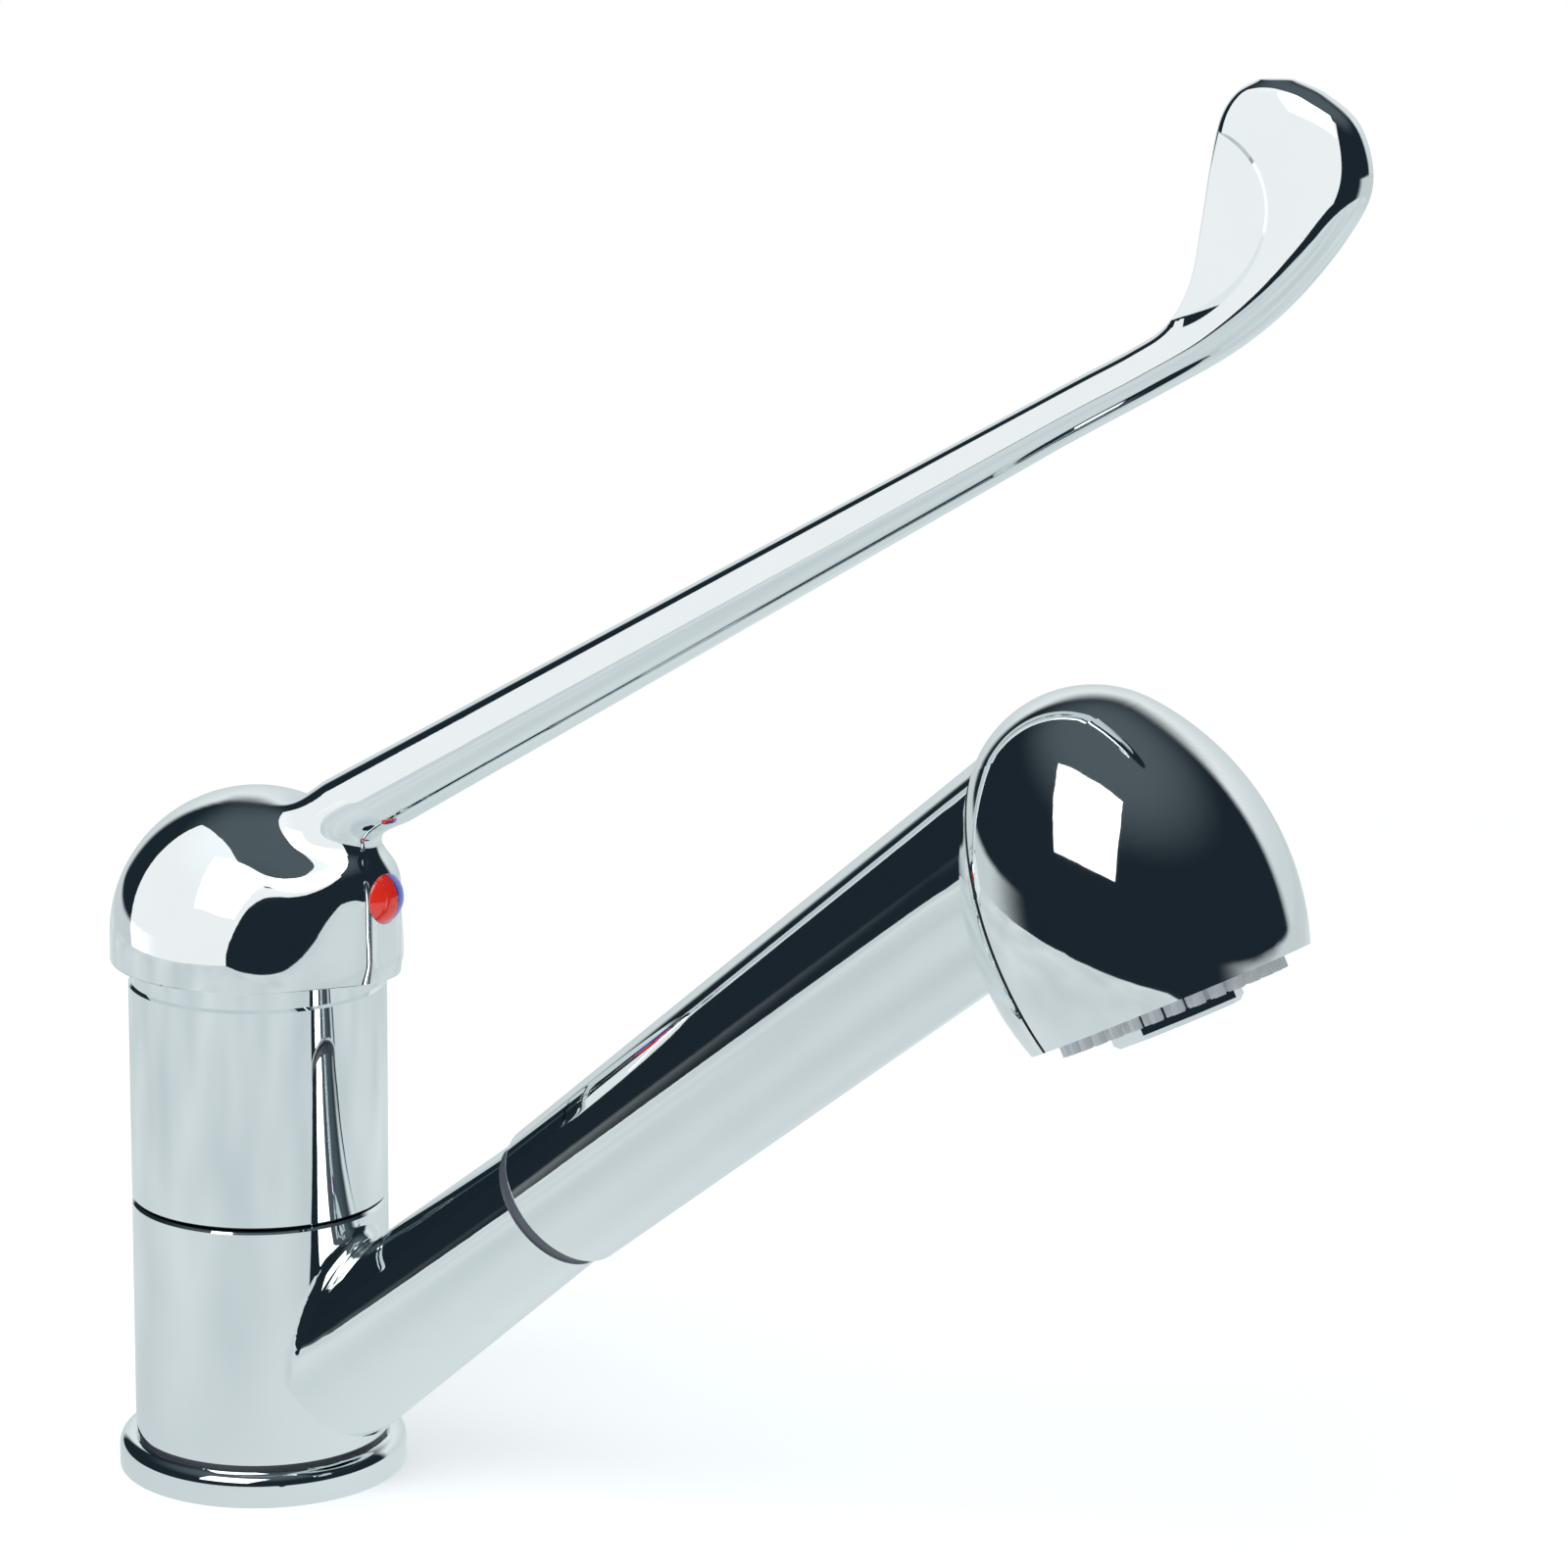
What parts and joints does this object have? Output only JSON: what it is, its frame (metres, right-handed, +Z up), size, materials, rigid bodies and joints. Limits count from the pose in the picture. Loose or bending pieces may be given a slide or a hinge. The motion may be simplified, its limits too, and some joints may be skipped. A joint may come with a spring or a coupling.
{
  "type": "elbow lever tap",
  "caption": "Basin mixer with a long upswept elbow lever and a slanted swivel spout that ends in a pull-out spray head with a turning jet selector.",
  "frame": {"origin": "centre of the base on the deck face, on the barrel's axis", "axes": "+Z up along the barrel, -Y the way the spout and the lever point at rest, +X to the right of someone who faces the spray head and looks along +Y; the part is mirror symmetric about the YZ plane but for the colours of the index plug"},
  "size_m": [0.0522, 0.2403, 0.2614],
  "materials": {
    "chrome_plate": "polished chrome plate",
    "chromed_plastic": "chrome plated plastic, mirror bright",
    "cast_brass": "machined brass, chrome plated outside",
    "nut_brass": "turned brass",
    "pin_steel": "ground stainless steel",
    "disc_ceramic": "lapped ceramic",
    "cartridge_plastic": "plain moulded plastic",
    "rotor_plastic": "plain moulded plastic",
    "slide_plastic": "smooth low-friction plastic",
    "collar_plastic": "plain moulded plastic",
    "spray_plastic": "bright moulded plastic",
    "selector_plastic": "chrome plated plastic",
    "mesh_plastic": "pale moulded plastic",
    "nozzle_rubber": "soft grey rubber",
    "black_rubber": "plain black rubber",
    "index_red": "glossy translucent red",
    "index_blue": "glossy translucent blue"
  },
  "bodies": {
    "base": {"base_ring": "chrome_plate", "base_gasket": "black_rubber", "thrust_ring": "slide_plastic", "main_body": "cast_brass", "lower_slide_ring": "slide_plastic", "upper_slide_ring": "slide_plastic", "swivel_stop_pin": "pin_steel", "cartridge_base": "cartridge_plastic", "port_seals": "black_rubber", "fixed_disc": "disc_ceramic", "cartridge_shell": "cartridge_plastic", "cartridge_nut": "nut_brass", "trim_ring": "chrome_plate"},
    "rotor": {"cartridge_rotor": "rotor_plastic", "pivot_pin": "pin_steel"},
    "mixing_disc": {"disc_carrier": "rotor_plastic", "moving_disc": "disc_ceramic"},
    "lever": {"lever_handle": "chrome_plate", "spindle": "pin_steel", "set_screw": "pin_steel", "index_plug": "cartridge_plastic", "index_red": "index_red", "index_blue": "index_blue"},
    "spout": {"spout_sleeve": "chrome_plate", "docking_collar": "collar_plastic"},
    "handset": {"handset_body": "chromed_plastic", "head_shell": "chromed_plastic", "parting_seal": "black_rubber", "spray_plate": "spray_plastic", "spray_nozzles": "nozzle_rubber", "water_chamber": "spray_plastic", "water_tube": "spray_plastic", "hose_union": "nut_brass", "check_valve": "cartridge_plastic", "docking_tail": "collar_plastic", "tail_ring": "black_rubber"},
    "selector": {"aerator_housing": "selector_plastic", "aerator_insert": "mesh_plastic", "selector_disc": "rotor_plastic", "aerator_seal": "black_rubber"}
  },
  "joints": [
    {"name": "spout_swivel", "type": "hinge", "parent": "base", "child": "spout", "pos_m": [0, 0, 0], "axis": [0, 0, 1], "range_deg": [-60, 60]},
    {"name": "handset_pull", "type": "slide", "parent": "spout", "child": "handset", "axis": [0, -0.7705, 0.6374], "range_m": [0, 0.15]},
    {"name": "jet_selector", "type": "hinge", "parent": "handset", "child": "selector", "pos_m": [0, -0.1783, 0.1306], "axis": [0, -0.4695, -0.8829], "range_deg": [0, 90]},
    {"name": "lever_turn", "type": "hinge", "parent": "base", "child": "rotor", "pos_m": [0, 0, 0.082], "axis": [0, 0, 1], "range_deg": [-50, 50]},
    {"name": "lever_lift", "type": "hinge", "parent": "rotor", "child": "lever", "pos_m": [0, 0, 0.082], "axis": [-1, 0, 0], "range_deg": [0, 25]},
    {"name": "disc_slide", "type": "slide", "parent": "rotor", "child": "mixing_disc", "axis": [0, -1, 0], "range_m": [0, 0.0028]}
  ],
  "couplings": [
    {"joint": "disc_slide", "follows": "lever_lift", "m_per_rad": 0.00625}
  ]
}
